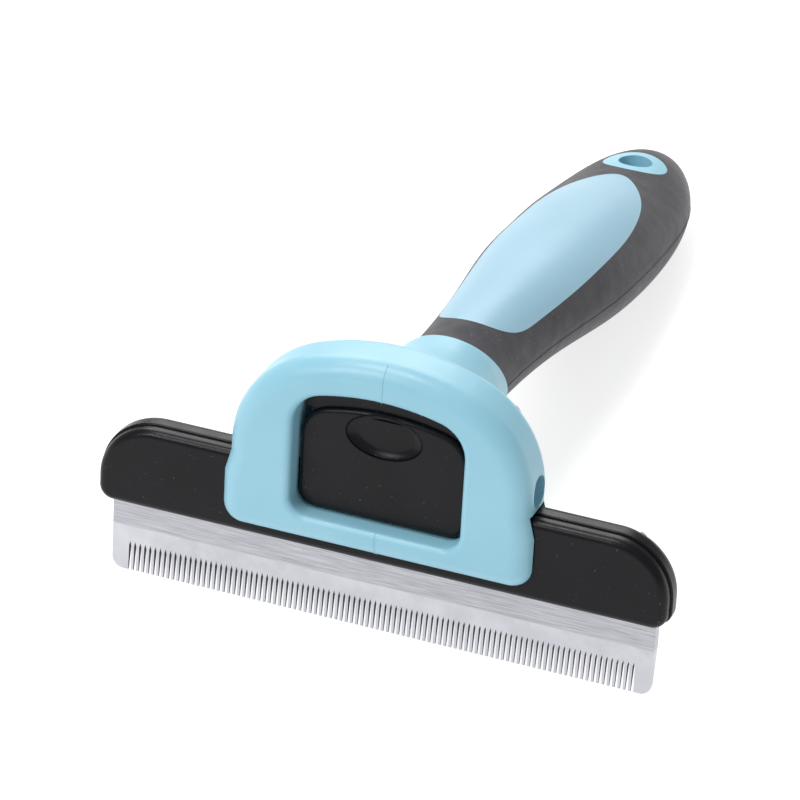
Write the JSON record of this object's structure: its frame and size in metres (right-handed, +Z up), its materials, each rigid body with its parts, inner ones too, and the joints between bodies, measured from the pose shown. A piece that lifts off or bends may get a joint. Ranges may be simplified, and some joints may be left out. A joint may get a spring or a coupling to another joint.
{
  "type": "deshedding tool",
  "caption": "Pet deshedding tool: a fine-slotted steel blade in a black holder, released from its blue frame by a sprung thumb lever, on a contoured soft-grip handle.",
  "frame": {"origin": "middle of the bottom of the bounding box of the tool as it rests on its tooth tips and the belly of its handle", "axes": "+X along the blade to its right-hand end seen from the front, +Y from the blade towards the tail of the handle, +Z up"},
  "size_m": [0.1092, 0.1572, 0.0557],
  "materials": {
    "blade_steel": "brushed along the blade, ground bevel",
    "pin_steel": "plain turned",
    "screw_steel": "zinc plated",
    "spring_steel": "drawn wire",
    "black_plastic": "fine satin texture",
    "blue_plastic": "satin moulded",
    "core_plastic": "plain moulded",
    "grip_rubber": "matte soft-touch",
    "panel_blue": "smooth gloss"
  },
  "bodies": {
    "handle": {"head_frame": "blue_plastic", "rear_yoke": "blue_plastic", "yoke_screws": "screw_steel", "lever_pin_left": "pin_steel", "lever_pin_right": "pin_steel", "pin_cap_left": "blue_plastic", "pin_cap_right": "blue_plastic", "collar_ring": "blue_plastic", "handle_core_upper": "core_plastic", "handle_core_lower": "core_plastic", "core_screws": "screw_steel", "grip_overmould": "grip_rubber", "thumb_panel": "panel_blue", "hang_eyelet": "blue_plastic"},
    "comb_head": {"comb_blade": "blade_steel", "blade_dowels": "pin_steel", "holder_front_shell": "black_plastic", "holder_back_shell": "black_plastic", "holder_screws": "screw_steel"},
    "release_lever": {"release_lever": "black_plastic", "lever_spring_left": "spring_steel", "lever_spring_right": "spring_steel"}
  },
  "joints": [
    {"name": "lever_press", "type": "hinge", "parent": "handle", "child": "release_lever", "pos_m": [0, -0.06986, 0.03468], "axis": [-1, 0, 0], "range_deg": [0, 9], "stiffness_Nm_per_rad": 0.15, "springref_deg": -0.57},
    {"name": "head_release", "type": "slide", "parent": "handle", "child": "comb_head", "axis": [0, -0.1392, -0.9903], "range_m": [0, 0.03]}
  ]
}
